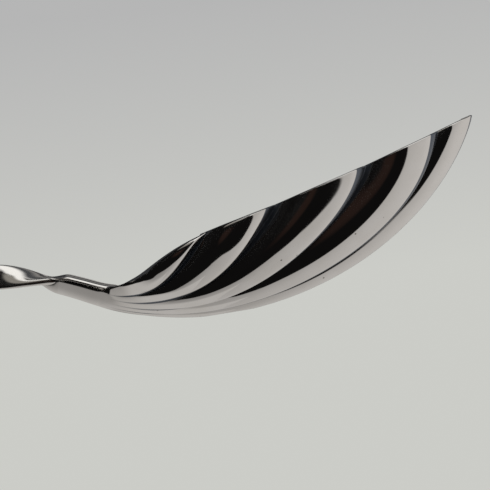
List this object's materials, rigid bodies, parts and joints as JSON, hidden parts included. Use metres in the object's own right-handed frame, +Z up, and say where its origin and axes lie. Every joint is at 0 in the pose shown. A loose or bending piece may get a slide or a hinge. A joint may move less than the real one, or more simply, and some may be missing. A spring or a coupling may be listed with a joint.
{
  "type": "teaspoon",
  "caption": "Teaspoon with a fluted scallop-shell bowl, a twisted bar stem let into the heel, and a turned flat-ended finial, for stirring and serving.",
  "frame": {"origin": "on the table, under the middle of the spoon's box, with the spoon lying on its bowl and on the finial's rim", "axes": "+X along the spoon towards the bowl's tip, +Z up, +Y to the left of someone looking along +X"},
  "size_m": [0.1396, 0.0286, 0.0206],
  "materials": {
    "bowl_metal": "mirror polished silver, fine wear lines",
    "stem_metal": "polished silver, softened by handling",
    "finial_metal": "polished silver, turned"
  },
  "bodies": {
    "root": {"bowl": "bowl_metal", "stem": "stem_metal", "finial": "finial_metal"}
  },
  "joints": []
}
